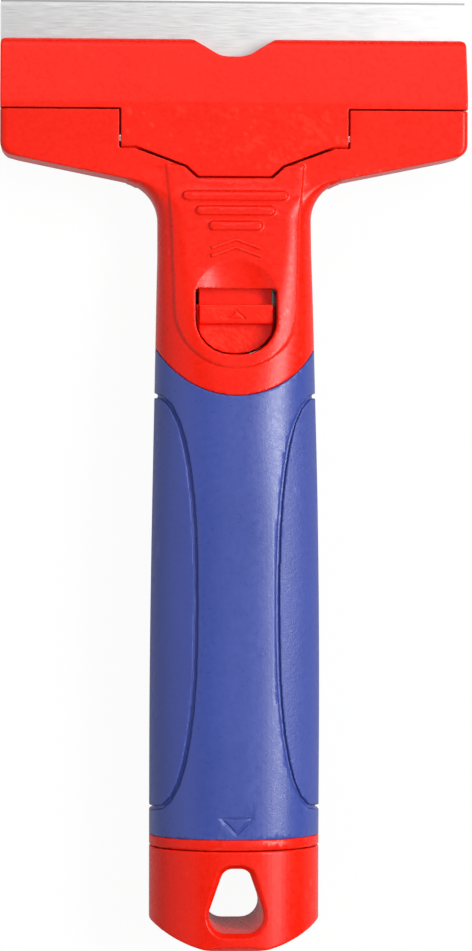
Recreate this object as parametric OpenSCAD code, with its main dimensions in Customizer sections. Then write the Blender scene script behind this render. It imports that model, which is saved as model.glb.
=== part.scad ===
// Razor blade scraper with a hinged blade clamp, a thumb slide and a hollow grip.
// It lies on its back: +Y points to the cutting edge, +X to the right, +Z to the front face.
// Distances "d" along the tool are measured from the cutting edge towards the end cap.

/* [Blade] */
// Width of the cutting edge
blade_w = 100; // [90:1:110]
// Depth of the blade from edge to edge
blade_depth = 18; // [16:0.5:20]
// Thickness of the blade
blade_t = 0.6; // [0.5:0.05:0.8]
// Length of the ground bevel
bevel_len = 1.2; // [0.8:0.1:1.6]
// Length of blade that stands out in front of the cover
blade_reach = 8.4; // [7:0.2:9]
// Distance between the two blade pegs
peg_spacing = 62; // [58:1:66]
// Diameter of a blade peg
peg_d = 3; // [2.5:0.1:3.5]

/* [Head] */
// Thickness of the head at the hinge
head_t = 13; // [12.5:0.1:13.5]
// Thickness of the plate under the blade
back_plate_t = 5; // [4.8:0.1:5.2]
// Height of the cover's lip above the blade
lip_h = 3.6; // [3.2:0.1:4]
// Width of the scoop in the cover's lip
scoop_w = 17.9; // [14:0.5:20]
// Depth of the scoop in the cover's lip
scoop_depth = 3.9; // [3:0.1:4.5]
// Distance from the cutting edge to the front of the ears
ear_setback = 24; // [23.6:0.1:24.4]
// Distance from the front of the ears to the hinge axis
hinge_len = 6; // [5.8:0.1:6.2]
// Depth of the hinge axis below the front face
hinge_drop = 1.8; // [1.75:0.01:1.85]
// Diameter of the hinge pin
pin_d = 2.2; // [2:0.1:2.3]
// Length of the hinge pin
pin_len = 60; // [56:1:70]
// Width of the cover between the ears
cover_mid_w = 48.6; // [46:0.2:50]
// Distance from the hinge axis to the end of the cover's tail
tail_len = 8.2; // [8:0.1:8.4]
// Width of the end of the cover's tail
tail_w = 15.6; // [15:0.2:18]
// Angle that the cover opens by
open_angle = 18; // [12:1:18]

/* [Handle] */
// Distance from the cover's tail to the window
neck_len = 24.1; // [23.6:0.1:26]
// Width of the neck
neck_w = 32.7; // [32:0.1:34]
// Width of the grip
grip_w = 36.2; // [35:0.1:38]
// Height of the front of the grip above the table
grip_top = 26.2; // [25.6:0.1:27]
// Height that the back of the grip arches off the table
arch_h = 5; // [4:0.1:5.4]
// Wall of the soft grip over the core
grip_wall = 2.2; // [1.8:0.1:2.4]
// Radius of the arc where the soft grip meets the neck
arc_r = 19.2; // [18.6:0.1:20]
// Distance from the window to the centre of that arc
arc_offset = 3.4; // [3:0.1:4]
// Length of the end cap along the tool
cap_len = 21.8; // [21:0.1:23]
// Length of the collar between grip and cap
collar_len = 2.3; // [2:0.1:3]

/* [Slide lock] */
// Travel of the thumb slide
slide_travel = 3; // [2.6:0.1:3]
// Width of the window in the neck
window_w = 17.3; // [16.8:0.1:18]
// Height of the window in the neck
window_h = 14; // [13.5:0.1:14.5]
// Radius of the finger dish around the window
dish_r = 8.9; // [8.5:0.1:9.5]
// Depth of the finger dish
dish_depth = 2.2; // [1.8:0.1:2.6]
// Diameter of the cam pin
cam_pin_d = 1.6; // [1.4:0.1:1.7]
// Outer diameter of a return spring
spring_d = 3.6; // [3.2:0.1:3.8]
// Wire diameter of a return spring
wire_d = 0.5; // [0.4:0.05:0.6]
// Number of turns of a return spring
spring_turns = 9; // [6:1:12]

/* [Hang hole and store] */
// Width of the base of the hang hole between its unrounded corners
hole_w = 14.8; // [13.8:0.2:15.4]
// Length of the hang hole along the tool
hole_len = 13.7; // [12:0.1:14]
// Thickness of the cap beyond the hang hole
hole_rim = 4.2; // [3.6:0.1:4.6]
// Play of the spare blades across the store
store_play = 0.8; // [0.6:0.1:1]
// Room in the grip beyond the ends of the spare blades
store_end = 1.3; // [1:0.1:4]
// Height of the blade store in the grip
store_h = 8; // [7.6:0.1:8.2]
// Number of spare blades in the store
spare_count = 3; // [1:1:4]

/* [Hidden] */
$fn = 48;
red = [0.93, 0.13, 0.09];
blue = [0.22, 0.26, 0.60];
steel = [0.72, 0.73, 0.75];

// Clearances
cover_gap = 0.35; // between the cover and the ears, neck and tail pocket
seat_gap = 0.1; // between the blade and the closed cover
skin_gap = 0.05; // between the moulded core and the soft grip over it
run_gap = 0.05; // around a pin that turns or slides
seat_fit = 0.02; // around a pin that is pressed in
slide_gap = 0.35; // around the thumb slide
cap_gap = 0.2; // between the cap and the collar or store
backplate_gap = 0.65; // on each side of the back plate of the window
cut = 1; // overrun of every cut

// Places along the tool, each from the one in front of it
hinge_setback = ear_setback + hinge_len;
tail_setback = hinge_setback + tail_len;
window_setback = tail_setback + neck_len;
window_end = window_setback + window_h;
arc_setback = window_setback + arc_offset;
store_wall = 2.7;
store_start = window_end + store_wall;
spare_play = 0.4;
collar_end = store_start + spare_play + blade_w + store_end;
grip_end = collar_end - collar_len;
cap_face = collar_end + cap_gap;
tool_len = collar_end + cap_len;
core_lead = 2.3;
core_start = arc_setback + core_lead;
outer_lap = 1;
outer_end = arc_setback + arc_r + outer_lap;

// Heights and places on the head
ear_gap_w = cover_mid_w + 2 * cover_gap;
edge_r = 1.3;
hinge_z = head_t - hinge_drop;
cover_z = back_plate_t + blade_t + seat_gap;
lip_top = back_plate_t + blade_t + lip_h;
cover_rear = ear_setback - cover_gap;
tail_step_len = 2.3;
tail_slope_len = 4;
tail_step_setback = tail_setback - tail_step_len;
tail_rise_setback = tail_step_setback - tail_slope_len;
tail_step_w = 20.4;
tail_skin = 1.6;
barrel_r = 2.4;
peg_setback = 13.4;
peg_h = 0.8;
peg_play = 0.2;

// Cam pin and the slot that it moves in, seen along the hinge axis
cam_y = -6;
cam_z = -3.9;
cam_wall = 1.2;
lug_w = 7.6;
tine_w = 2.2;
tine_h = 2.2;
tine_gap = 0.4;
fork_w = lug_w + 2 * tine_gap + 2 * tine_w;
fork_z = hinge_z + cam_z;
lug_clearance = 0.5;

// Shoulders and neck
plate_lap = 0.8;
plate_front = blade_reach + plate_lap;
plate_nose = 1.2;
plate_heel = 14;
shoulder_len = 7;
shoulder_setback = ear_setback + shoulder_len;
shoulder_r = 3;
shoulder_fall = 11.6;
shoulder_fillet = 9;
rise_lead = 2.2;
rise_len = 74;
rise_start = tail_setback - rise_lead;
rise_end = rise_start + rise_len;
arch_lag = 1.8;
arch_stop = 10;
arch_start = tail_setback + arch_lag;
arch_end = tool_len - arch_stop;
growth_lag = 16.8;
growth_len = 105;
growth_start = tail_setback + growth_lag;
growth_end = growth_start + growth_len;
neck_rx = 6;
neck_rz = 5;
grip_rx_share = 0.94;
grip_rz_share = 0.92;
round_lead = 4.2;
round_neck_len = 14;
round_grip_len = 44;
round_start = tail_setback - round_lead;
round_mid = round_start + round_neck_len;
round_end = round_mid + round_grip_len;

// Places along the tool
function at(d) = tool_len / 2 - d;
function clamp01(t) = min(1, max(0, t));
function mix(a, b, t) = a + (b - a) * t;
function ease(t) = (1 - cos(180 * clamp01(t))) / 2;
function swell(t) = sin(90 * clamp01(t));

// Half width of the tool: ears, shoulder corner, slope, fillet and growing handle
corner_end = shoulder_setback + shoulder_r * cos(shoulder_fall);
corner_x = head_w2() - shoulder_r + shoulder_r * sin(shoulder_fall);
fillet_x = neck_w / 2 + shoulder_fillet;
fillet_start_x = fillet_x - shoulder_fillet * sin(shoulder_fall);
fillet_start = corner_end + (corner_x - fillet_start_x) * tan(shoulder_fall);
fillet_end = fillet_start + shoulder_fillet * cos(shoulder_fall);
function head_w2() = blade_w / 2;
function neck_half(d) =
  mix(neck_w, grip_w, swell((d - growth_start) / (growth_end - growth_start))) / 2;
function half_w(d) =
  d <= shoulder_setback ? head_w2() :
  d <= corner_end ? head_w2() - shoulder_r + sqrt(pow(shoulder_r, 2) - pow(d - shoulder_setback, 2)) :
  d <= fillet_start ? corner_x - (d - corner_end) / tan(shoulder_fall) :
  d <= fillet_end ? fillet_x - sqrt(pow(shoulder_fillet, 2) - pow(fillet_end - d, 2)) :
  neck_half(d);

// Heights of the front and the back of the tool
function front_z(d) = mix(head_t, grip_top, swell((d - rise_start) / (rise_end - rise_start)));
function back_z(d) = arch_h * pow(sin(180 * clamp01((d - arch_start) / (arch_end - arch_start))), 2);

// Radii that round the section, small on the head and nearly an ellipse on the grip
function round_x(d) =
  d < round_mid ? mix(edge_r, neck_rx, ease((d - round_start) / (round_mid - round_start))) :
  mix(neck_rx, grip_rx_share * half_w(d), ease((d - round_mid) / (round_end - round_mid)));
function half_t(d) = (front_z(d) - back_z(d)) / 2;
function round_z(d) =
  d < round_mid ? mix(edge_r, neck_rz, ease((d - round_start) / (round_mid - round_start))) :
  mix(neck_rz, grip_rz_share * half_t(d), ease((d - round_mid) / (round_end - round_mid)));

// One ring of the moulded form at distance d, grown outwards by g
corner_steps = 6;
function quarter(cx, cz, rx, rz, a0) =
  [for (i = [0:corner_steps]) let (a = a0 + 90 * i / corner_steps) [cx + rx * cos(a), cz + rz * sin(a)]];
function section(d, g) =
  let (
    w = half_w(d) + g,
    top = front_z(d) + g,
    low = back_z(d) - g,
    rx = min(w, max(edge_r / 2, round_x(d) + g)),
    rz = min((top - low) / 2, max(edge_r / 2, round_z(d) + g))
  )
  [for (p = concat(
      quarter(w - rx, top - rz, rx, rz, 0),
      quarter(rx - w, top - rz, rx, rz, 90),
      quarter(rx - w, low + rz, rx, rz, 180),
      quarter(w - rx, low + rz, rx, rz, 270)
    )) [p.x, at(d), p.y]];

// Lofted skin through rings at the distances in the list
module loft(stations, g = 0) {
  rings = [for (d = stations) section(d, g)];
  n = len(rings[0]);
  last = len(rings) - 1;
  points = [for (r = rings) each r];
  sides = [
    for (i = [0:last - 1], k = [0:n - 1])
      let (a = i * n + k, b = i * n + (k + 1) % n)
        each [[a, b + n, b], [a, a + n, b + n]]
  ];
  first_cap = [[for (k = [0:n - 1]) k]];
  last_cap = [[for (k = [0:n - 1]) last * n + n - 1 - k]];
  polyhedron(points = points, faces = concat(first_cap, sides, last_cap));
}

// Distances from a to b in equal steps of about the given length
function steps(a, b, len_) = let (n = max(1, round((b - a) / len_))) [for (i = [0:n]) a + (b - a) * i / n];
coarse_step = 9;
grip_step = 6;
fine_step = 1.6;
head_stations = concat(
  [ear_setback],
  steps(shoulder_setback, corner_end, shoulder_r / 3),
  steps(corner_end, fillet_start, fine_step * 2),
  steps(fillet_start, fillet_end, fine_step)
);
function without_repeats(v) =
  [for (i = [0:len(v) - 1]) if (i == 0 || v[i] - v[max(0, i - 1)] > seat_fit) v[i]];
neck_stations = without_repeats(concat(head_stations, steps(fillet_end, outer_end, coarse_step / 2)));
core_stations = steps(core_start, grip_end, coarse_step);
grip_stations = steps(core_start, grip_end, grip_step);

// Outline with a radius at each corner, from points [x, y, radius]
function unit(v) = v / norm(v);
function arc_corner(a, b, c, r, n) =
  r <= 0 ? [b] :
  let (
    u = unit(a - b),
    v = unit(c - b),
    half = acos(u * v) / 2,
    centre = b + unit(u + v) * r / sin(half),
    p = b + u * r / tan(half) - centre,
    q = b + v * r / tan(half) - centre,
    a0 = atan2(p.y, p.x),
    turn = (atan2(q.y, q.x) - a0 + 540) % 360 - 180
  )
  [for (i = [0:n]) centre + r * [cos(a0 + turn * i / n), sin(a0 + turn * i / n)]];
function flat2(p) = [p.x, p.y];
function rounded(pts, n = 5) =
  let (m = len(pts))
  [for (i = [0:m - 1])
      each arc_corner(flat2(pts[(i + m - 1) % m]), flat2(pts[i]), flat2(pts[(i + 1) % m]), pts[i].z, n)];
function both_sides(half) =
  concat(half, [for (i = [len(half) - 1:-1:0]) [-half[i].x, half[i].y, half[i].z]]);

// Prism along Z from an outline in plan
module plan_prism(outline, z0, z1) translate([0, 0, z0]) linear_extrude(z1 - z0) polygon(outline);

// Prism along X, centred, from an outline of [y, z] points
module side_prism(outline, width)
  translate([-width / 2, 0, 0]) rotate([90, 0, 90]) linear_extrude(width) polygon(outline);

// Cylinder along X through a place [y, z]
module rod(y, z, d, length) translate([-length / 2, y, z]) rotate([0, 90, 0]) cylinder(d = d, h = length);

// Block given by its low and high corner
module block(low, high) translate(low) cube(high - low);

// Turns the children about the hinge axis
module about_hinge(angle)
  translate([0, at(hinge_setback), hinge_z]) rotate([angle, 0, 0])
      translate([0, -at(hinge_setback), -hinge_z]) children();

// Plan of the part of the cover behind the ears' front, grown by g
function tail_outline(g) = rounded(both_sides([
  [cover_mid_w / 2 + g, at(ear_setback - cut), 0],
  [cover_mid_w / 2 + g, at(tail_rise_setback - edge_r + g), edge_r],
  [tail_step_w / 2 + g, at(tail_step_setback + g), edge_r],
  [tail_w / 2 + g, at(tail_setback + g), edge_r / 2]
]), 3);

// Scoop in the front edge of the cover
scoop_low_w = 5.4;
scoop_lip_r = 2.5;
scoop_low_r = 6;

// Path of the cam pin in the cover's own plane while the cover turns by angle a
function cam_point(a) =
  let (y = cam_y + slide_travel * a / open_angle, z = cam_z)
  [y * cos(a) + z * sin(a), z * cos(a) - y * sin(a)];

// Plan of the window, with a round lower end
window_r = 0.8;
window_low_r = 7.4;
function window_outline(side, end) = rounded(both_sides([
  [window_w / 2 - side, at(window_setback + end), window_r],
  [window_w / 2 - side, at(window_end - end), window_low_r]
]), 6);

// Plan of the hang hole, a rounded triangle that points to the head
hole_top = tool_len - hole_rim - hole_len;
hole_r = 3.8;
hole_tip_r = 2.5;
hole_tip_w = 5.2;
hole_flare_share = 2;
function hole_outline(g) = rounded([
  [hole_w / 2 + g * hole_flare_share, at(hole_top + hole_len + g), hole_r + g],
  [-hole_w / 2 - g * hole_flare_share, at(hole_top + hole_len + g), hole_r + g],
  [-hole_tip_w / 2 - g, at(hole_top - g), hole_tip_r + g],
  [hole_tip_w / 2 + g, at(hole_top - g), hole_tip_r + g]
], 7);

// Blade store and what lies in it
store_w = blade_depth + store_play;
store_floor = 10;
spare_gap = 0.08;
plug_len = 8;
plug_drop = 3;
plug_wall = 1.6;

// Springs of the slide
spring_x = 5;
spring_z = 12.6;
bore_play = 0.3;
spring_bore_depth = 10;
spring_seat = window_setback - spring_bore_depth;
slider_top = window_setback + slide_travel + slide_gap;
post_len = 2;
post_d = spring_d - 2 * wire_d - 2 * bore_play;

// Shield over the springs, held in a groove of the slide
shield_t = 0.8;
shield_z = 15.9;
shield_root = 1.2;
shield_over = 0.9;

// Thumb slide
slider_z0 = 5.1;
backplate_z = 2.6;
backplate_t = 2.2;
thumb_w = 15.54;
thumb_len = 4.2;
thumb_sink = 1;
floor_sink = 3;
guide_z = 12.6;
guide_h = 1.6;
guide_out = 0.6;
guide_lag = 7.1;
guide_setback = window_setback + guide_lag;
guide_len = 3.4;
tri_w = 4.6;
tri_h = 2.1;
tri_line = 0.35;
tri_sunk = 0.3;
tri_inset_share = 2.6;
tri_centre_share = 0.62;
channel_gap = 0.25;

// Ribs above the window, each shorter than the one before
rib_count = 3;
rib_w = 22.2;
rib_less = 5.5;
rib_len = 1.8;
rib_pitch = 3.25;
rib_lag = 4.2;
rib_first = tail_setback + rib_lag;
rib_h = 0.7;

// Raised panel of the neck
panel_w = 27.2;
panel_end = window_end + store_wall;
panel_h = 0.45;
panel_low_r = 12.4;

// Side pads of the grip, each inside a groove that follows a superellipse
pad_mid = (panel_end + grip_end) / 2;
pad_half_len = 44;
pad_inset = 9.5;
pad_power = 2.5;
groove_w = 0.9;
groove_depth = 0.7;
pad_steps = 18;
grip_mark_w = 7.4;
grip_mark_h = 3.8;
grip_mark_line = 0.4;
grip_mark_inset = 0.9;
grip_mark_end = grip_end - grip_mark_inset;
mark_sunk = 0.4;

// Plan of the red and blue boundary
module neck_side(r) {
  block([-blade_w, at(arc_setback), -cut], [blade_w, at(0), grip_top + arch_h]);
  translate([0, at(arc_setback), -cut]) cylinder(r = r, h = grip_top + arch_h + cut, $fn = 96);
}

// Room for the cover's mid part and for its tail as it swings down
module cover_room() {
  plan_prism(tail_outline(cover_gap), back_plate_t, grip_top);
  rod(at(hinge_setback), hinge_z, 2 * (barrel_r + cover_gap), ear_gap_w);
  for (i = [1:swing_steps])
    about_hinge(open_angle * i / swing_steps)
      plan_prism(tail_outline(cover_gap), hinge_z - barrel_r, head_t + seat_gap);
  room_z = hinge_z + cam_z - pin_path_drop;
  block([-fork_w / 2 - tine_gap, at(tail_setback + cover_gap), room_z],
    [fork_w / 2 + tine_gap, at(hinge_setback + barrel_r / 2), hinge_z]);
}
swing_steps = 3;
lug_r = cam_pin_d / 2 + run_gap * 2 + cam_wall;
pin_path_drop = lug_r + lug_clearance - cam_y * sin(open_angle) - (1 - cos(open_angle)) * abs(cam_z);

// Channel for the fork, window, spring bores and guides of the thumb slide
module slide_room() {
  block([-fork_w / 2 - channel_gap, at(window_setback + cut), fork_z - tine_h / 2 - channel_gap],
    [fork_w / 2 + channel_gap, at(tail_setback), fork_z + tine_h / 2 + channel_gap]);
  plan_prism(window_outline(0, 0), -cut, grip_top + arch_h);
  for (side = [-1, 1])
    translate([side * spring_x, at(window_setback + cut), spring_z]) rotate([-90, 0, 0])
        cylinder(d = spring_d + 2 * bore_play, h = spring_bore_depth + cut);
  guide_reach = window_w / 2 + guide_out + slide_gap;
  block(
    [-guide_reach, at(guide_setback + guide_len + slide_gap), guide_z - slide_gap],
    [guide_reach, at(guide_setback - slide_travel - slide_gap), guide_z + guide_h + slide_gap]
  );
  block(
    [-thumb_w / 2 - slide_gap, at(window_setback + cut), shield_z - slide_gap],
    [thumb_w / 2 + slide_gap, at(window_setback - shield_over - slide_travel - slide_gap),
      shield_z + shield_t + slide_gap]
  );
}

// Round finger dish about the window
module finger_dish() {
  ball_r = (pow(dish_r, 2) + pow(dish_depth, 2)) / (2 * dish_depth);
  dish_mid = window_setback + dish_offset;
  slope = atan((front_z(dish_mid + dish_r) - front_z(dish_mid - dish_r)) / (2 * dish_r));
  translate([0, at(dish_mid), front_z(dish_mid) + panel_h]) rotate([-slope, 0, 0])
      translate([0, 0, ball_r - dish_depth]) sphere(r = ball_r, $fn = 72);
}
dish_offset = 2.3;

// Store for the spare blades, open at the collar
module store_room()
  block([-store_w / 2, at(collar_end + cut), store_floor],
    [store_w / 2, at(store_start), store_floor + store_h]);

// Blind bores in the ears for the hinge pin
module ear_bores() rod(at(hinge_setback), hinge_z, pin_d + 2 * seat_fit, pin_len + 2 * seat_fit);

// Red moulding: back plate, ears, neck, core of the grip and collar
module body() color(red) {
  difference() {
    union() {
      back_plate();
      intersection() {
        loft(neck_stations);
        neck_side(arc_r);
      }
      neck_panel();
      neck_ribs();
      loft(core_stations, -grip_wall - skin_gap);
      loft([grip_end, collar_end]);
    }
    cover_room();
    ear_bores();
    finger_dish();
    slide_room();
    store_room();
  }
  blade_pegs();
}

// Plate under the blade, bevelled behind its front edge
module back_plate()
  intersection() {
    side_prism([
      [at(plate_front), back_plate_t],
      [at(plate_front), back_plate_t - plate_nose],
      [at(plate_heel), 0],
      [at(ear_setback + cut), 0],
      [at(ear_setback + cut), back_plate_t]
    ], blade_w);
    plan_prism(rounded(both_sides([
      [blade_w / 2, at(plate_front), edge_r],
      [blade_w / 2, at(ear_setback + 2 * cut), 0]
    ])), -cut, back_plate_t + cut);
  }

// Pegs that locate the blade
module blade_pegs()
  for (side = [-1, 1])
    translate([side * peg_spacing / 2, at(peg_setback), back_plate_t - peg_h])
      cylinder(d = peg_d, h = 2 * peg_h + blade_t);

// Raised panel that carries the ribs and the dish
module neck_panel()
  intersection() {
    loft(neck_stations, panel_h);
    plan_prism(rounded(both_sides([
      [panel_w / 2 + cut, at(tail_step_setback), 0],
      [panel_w / 2, at(fillet_end), 0],
      [panel_w / 2 - cut, at(panel_end), panel_low_r]
    ]), 8), hinge_z - barrel_r, grip_top + arch_h);
  }

// Three ribs with round ends
module neck_ribs()
  intersection() {
    loft(neck_stations, panel_h + rib_h);
    union() {
      for (i = [0:rib_count - 1]) {
        half = (rib_w - i * rib_less) / 2;
        y = at(rib_first + i * rib_pitch);
        plan_prism(rounded(both_sides([
          [half, y + rib_len / 2, rib_len / 2 - seat_fit],
          [half, y - rib_len / 2, rib_len / 2 - seat_fit]
        ]), 4), hinge_z, grip_top);
      }
    }
  }

// Inner edge of a side pad in plan, at share t of its half length
function pad_edge(t, g) =
  let (s = pow(max(0, 1 - pow(abs(t), pad_power)), 1 / pad_power))
  [grip_w / 2 - (pad_inset + g) * s, at(pad_mid + (pad_half_len + g) * t)];
function pad_line(g) = [for (i = [0:pad_steps])
    let (a = 180 * i / pad_steps - 90) pad_edge(sin(a), g)];

// Band in plan along the inner edge of a pad
module groove_band()
  for (side = [-1, 1])
    scale([side, 1, 1]) plan_prism(concat(
      [[grip_w, at(pad_mid - pad_half_len - groove_w / 2)]],
      pad_line(groove_w / 2),
      [[grip_w, at(pad_mid + pad_half_len + groove_w / 2)]],
      [[grip_w, at(pad_mid + pad_half_len - groove_w / 2)]],
      [for (i = [pad_steps:-1:0]) pad_line(-groove_w / 2)[i]],
      [[grip_w, at(pad_mid - pad_half_len + groove_w / 2)]]
    ), -cut, grip_top + arch_h);

// Sunk outline of a triangle in plan, with its tip at [0, y] and its base up or down by h
module triangle_line(y, w, h, line, z0, z1)
  difference() {
    plan_prism([[0, y], [w / 2, y + h], [-w / 2, y + h]], z0, z1);
    inner = 1 - tri_inset_share * line / abs(h);
    mid = y + h * tri_centre_share;
    plan_prism([
      [0, mid + (y - mid) * inner],
      [w / 2 * inner, mid + (y + h - mid) * inner],
      [-w / 2 * inner, mid + (y + h - mid) * inner]
    ], z0 - cut, z1 + cut);
  }

// Soft blue moulding over the core
module grip() color(blue)
  difference() {
    loft(grip_stations);
    loft(concat([core_start - cut], core_stations, [grip_end + cut]), -grip_wall);
    neck_side(arc_r + skin_gap);
    difference() {
      groove_band();
      loft(grip_stations, -groove_depth);
    }
    intersection() {
      triangle_line(at(grip_mark_end), grip_mark_w, grip_mark_h, grip_mark_line,
        store_floor, grip_top + cut);
      block([-grip_w, at(grip_end), grip_top - mark_sunk], [grip_w, at(pad_mid), grip_top + cut]);
    }
  }

// Hinged clamp over the blade
module blade_cover() color(red)
  difference() {
    union() {
      cover_shell();
      intersection() {
        rod(at(hinge_setback), hinge_z, 2 * barrel_r, cover_mid_w);
        block([-blade_w, at(hinge_setback + barrel_r), 0], [blade_w, at(0), head_t]);
      }
      cover_lug();
    }
    rod(at(hinge_setback), hinge_z, pin_d + 2 * run_gap, cover_mid_w + 2 * cut);
    cam_slot();
    peg_recesses();
    cover_pockets();
  }

cover_nose_r = 1.6;
cover_mid_len = 3;
cover_mid_rear = ear_setback + cover_mid_len;
module cover_shell()
  intersection() {
    side_prism(rounded([
      [at(blade_reach), cover_z, 0],
      [at(blade_reach), lip_top - cover_nose_r / 2, cover_nose_r],
      [at(blade_reach + cover_nose_r), lip_top, cover_nose_r],
      [at(ear_setback - edge_r), head_t, cover_nose_r],
      [at(tail_setback), head_t, 0],
      [at(tail_setback), head_t - tail_skin, 0],
      [at(cover_mid_rear), head_t - tail_skin, 0],
      [at(cover_mid_rear), cover_z, 0]
    ]), blade_w);
    union() {
      plan_prism(cover_outline(), 0, grip_top);
      plan_prism(tail_outline(0), 0, grip_top);
    }
    translate([0, at(0), 0]) rotate([90, 0, 0]) linear_extrude(tail_setback + cut)
          polygon(rounded(both_sides([
            [blade_w / 2, cover_z - edge_r, 0],
            [blade_w / 2, head_t + edge_r / 2, edge_r]
          ])));
  }
function cover_outline() = rounded(concat(
  [[-blade_w / 2, at(cover_rear), 0], [-blade_w / 2, at(blade_reach), edge_r]],
  [
    [-scoop_w / 2, at(blade_reach), scoop_lip_r],
    [-scoop_low_w / 2, at(blade_reach + scoop_depth), scoop_low_r],
    [scoop_low_w / 2, at(blade_reach + scoop_depth), scoop_low_r],
    [scoop_w / 2, at(blade_reach), scoop_lip_r]
  ],
  [[blade_w / 2, at(blade_reach), edge_r], [blade_w / 2, at(cover_rear), 0]]
), 7);

// Lug under the tail that carries the cam slot
module cover_lug()
  translate([-lug_w / 2, at(hinge_setback), hinge_z]) rotate([90, 0, 90]) linear_extrude(lug_w)
        hull() {
          translate(cam_point(0)) circle(r = lug_r, $fn = 32);
          translate(cam_point(open_angle)) circle(r = lug_r, $fn = 32);
          translate([cam_y - lug_r, hinge_drop - tail_skin]) square([lug_r * 2, tail_skin / 2]);
        }

// Slanted slot that the cam pin moves in
cam_steps = 6;
module cam_slot()
  translate([-lug_w / 2 - cut, at(hinge_setback), hinge_z]) rotate([90, 0, 90])
      linear_extrude(lug_w + 2 * cut)
        for (i = [0:cam_steps])
          translate(cam_point(open_angle * i / cam_steps)) circle(d = cam_pin_d + 4 * run_gap);

// Recesses over the blade pegs
module peg_recesses()
  for (side = [-1, 1])
    translate([side * peg_spacing / 2, at(peg_setback), cover_z - cut])
      cylinder(d = peg_d + 4 * peg_play, h = cut + 2 * peg_h + peg_play);

// Pockets that thin the cover from below, with ribs between them
pocket_count = 8;
pocket_rib = 1.6;
pocket_lag = 2.4;
pocket_lead = 1.8;
pocket_front = peg_setback + pocket_lag;
pocket_rear = ear_setback - pocket_lead;
cover_skin = 2;
module cover_pockets() {
  pitch = (blade_w - 2 * cover_skin - 2 * edge_r) / pocket_count;
  for (i = [0:pocket_count - 1]) {
    x = (i - (pocket_count - 1) / 2) * pitch;
    block([x - (pitch - pocket_rib) / 2, at(pocket_rear), cover_z - cut],
      [x + (pitch - pocket_rib) / 2, at(pocket_front), lip_top]);
  }
}

// One blade with its cutting edge at y = 0, ground on both edges and both faces
blade_edge = 0.1;
hole_play = 0.3;
slot_len = 5;
module one_blade() {
  mid = blade_t / 2;
  difference() {
    side_prism([
      [0, mid - blade_edge / 2],
      [0, mid + blade_edge / 2],
      [-bevel_len, blade_t],
      [bevel_len - blade_depth, blade_t],
      [-blade_depth, mid + blade_edge / 2],
      [-blade_depth, mid - blade_edge / 2],
      [bevel_len - blade_depth, 0],
      [-bevel_len, 0]
    ], blade_w);
    for (side = [-1, 1], end = [-1, 1])
      translate([side * peg_spacing / 2 + end * (slot_len - peg_d) / 2, -peg_setback, -cut])
        cylinder(d = peg_d + 2 * hole_play, h = blade_t + 2 * cut);
    for (side = [-1, 1])
      block(
        [side * peg_spacing / 2 - (slot_len - peg_d) / 2, -peg_setback - peg_d / 2 - hole_play, -cut],
        [side * peg_spacing / 2 + (slot_len - peg_d) / 2, -peg_setback + peg_d / 2 + hole_play,
          blade_t + cut]
      );
  }
}

module blade() color(steel) translate([0, at(0), back_plate_t]) one_blade();

// Spare blades on the floor of the store, lying along the grip
module spare_blades() color(steel)
  for (i = [0:spare_count - 1])
    translate([blade_depth / 2, at(store_start + spare_play + blade_w / 2),
      store_floor + i * (blade_t + spare_gap)])
      rotate([0, 0, 90]) mirror([0, 1, 0]) one_blade();

module hinge_pin() color(steel) rod(at(hinge_setback), hinge_z, pin_d, pin_len);

module cam_pin() color(steel) rod(at(hinge_setback) + cam_y, fork_z, cam_pin_d, fork_w);

// Thumb slide: block in the window, thumb bar, fork and spring posts
fork_front = 1.3;
web_lag = 5.8;
web_setback = tail_setback + web_lag;
module lock_slider() color(red)
  difference() {
    union() {
      intersection() {
        plan_prism(window_outline(slide_gap, slide_gap), slider_z0, grip_top);
        slider_side();
      }
      block(
        [-window_w / 2 + slide_gap - guide_out, at(guide_setback + guide_len), guide_z],
        [window_w / 2 - slide_gap + guide_out, at(guide_setback), guide_z + guide_h]
      );
      fork();
      for (side = [-1, 1])
        translate([side * spring_x, at(slider_top + cut), spring_z]) rotate([-90, 0, 0])
            cylinder(d = post_d, h = post_len + cut);
    }
    rod(at(hinge_setback) + cam_y, fork_z, cam_pin_d + 2 * seat_fit, fork_w + 2 * cut);
    block([-thumb_w / 2 - seat_fit, at(slider_top + shield_root + seat_fit), shield_z - seat_fit],
      [thumb_w / 2 + seat_fit, at(slider_top - cut), shield_z + shield_t + seat_fit]);
    bar_top = front_z(slider_top) - thumb_sink;
    triangle_line(at(slider_top + (thumb_len - tri_h) / 2), tri_w, -tri_h, tri_line,
      bar_top - tri_sunk, grip_top);
  }

// Side view of the slide: high thumb bar in front, sunken floor behind it
module slider_side() {
  bar_top = front_z(slider_top) - thumb_sink;
  floor_top = front_z(slider_top) - floor_sink;
  side_prism(rounded([
    [at(slider_top), slider_z0, 0],
    [at(slider_top), bar_top, edge_r / 2],
    [at(slider_top + thumb_len), bar_top, edge_r / 2],
    [at(slider_top + thumb_len), floor_top, 0],
    [at(window_end), floor_top, 0],
    [at(window_end), slider_z0, 0]
  ], 3), thumb_w);
  block([-window_w / 2, at(window_end), slider_z0],
    [window_w / 2, at(slider_top), floor_top - cut]);
}

module fork() {
  low = fork_z - tine_h / 2;
  high = fork_z + tine_h / 2;
  block([-fork_w / 2, at(slider_top + cut), low], [fork_w / 2, at(web_setback), high]);
  for (side = [-1, 1])
    block(
      [side * (fork_w - tine_w) / 2 - tine_w / 2, at(web_setback + cut), low],
      [side * (fork_w - tine_w) / 2 + tine_w / 2, at(hinge_setback) + cam_y + fork_front, high]
    );
}

// Two return springs in the bores above the window
module return_springs() color(steel)
  for (side = [-1, 1])
    translate([side * spring_x, at(slider_top), spring_z]) rotate([-90, 0, 0])
        coil(slider_top - spring_seat, spring_d - wire_d, wire_d, spring_turns);

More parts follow.
